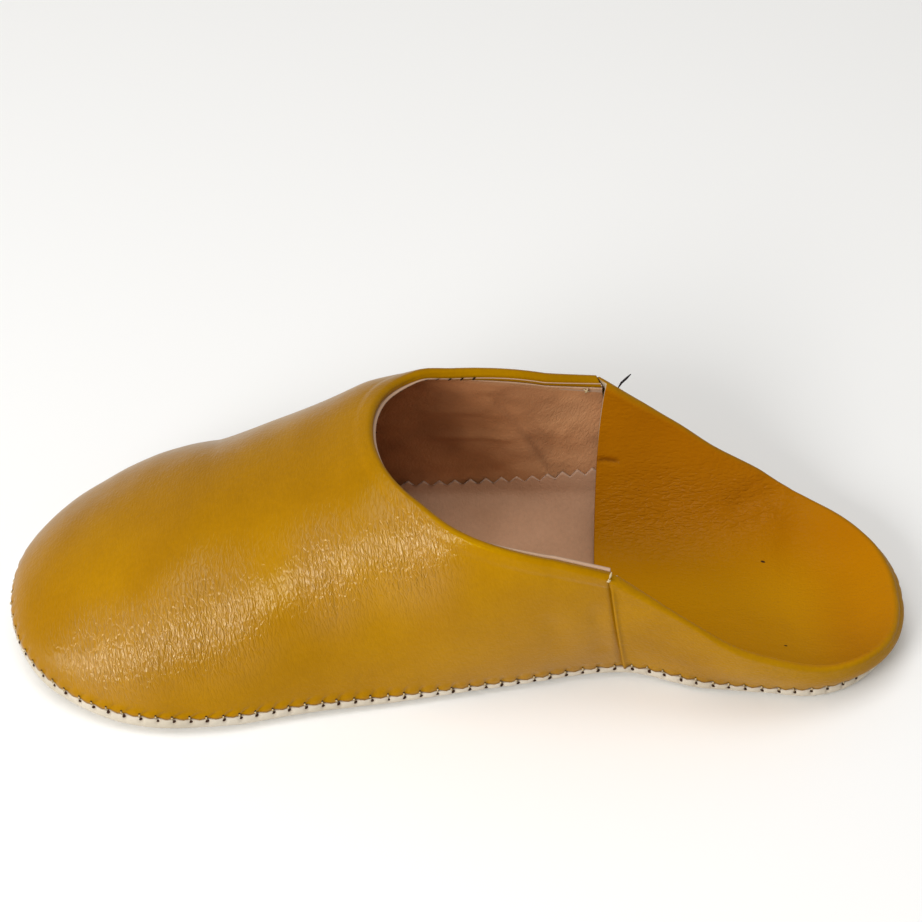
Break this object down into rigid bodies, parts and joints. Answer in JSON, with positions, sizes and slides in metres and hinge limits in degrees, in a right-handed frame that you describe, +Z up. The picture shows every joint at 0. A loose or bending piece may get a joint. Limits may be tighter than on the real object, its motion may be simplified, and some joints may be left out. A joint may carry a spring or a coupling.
{
  "type": "babouche slipper",
  "caption": "Soft backless leather slipper with a rounded toe, a low open collar and a heel folded down flat inside.",
  "frame": {"origin": "on the floor under the middle of the slipper's bounding box", "axes": "+X from heel to toe, +Y to the shoe's left (inner) side, +Z up from the floor"},
  "size_m": [0.2678, 0.1042, 0.0696],
  "materials": {
    "upper_leather": "smooth glazed mustard yellow goatskin, satin gloss",
    "quarter_leather": "smooth mustard yellow goatskin, softer gloss",
    "sole_leather": "smooth pale natural leather, matt",
    "insole_leather": "pinkish beige lining leather, fine grain, matt"
  },
  "bodies": {
    "root": {"outsole": "sole_leather", "insole": "insole_leather", "vamp": "upper_leather", "heel_quarter": "quarter_leather"}
  },
  "joints": []
}
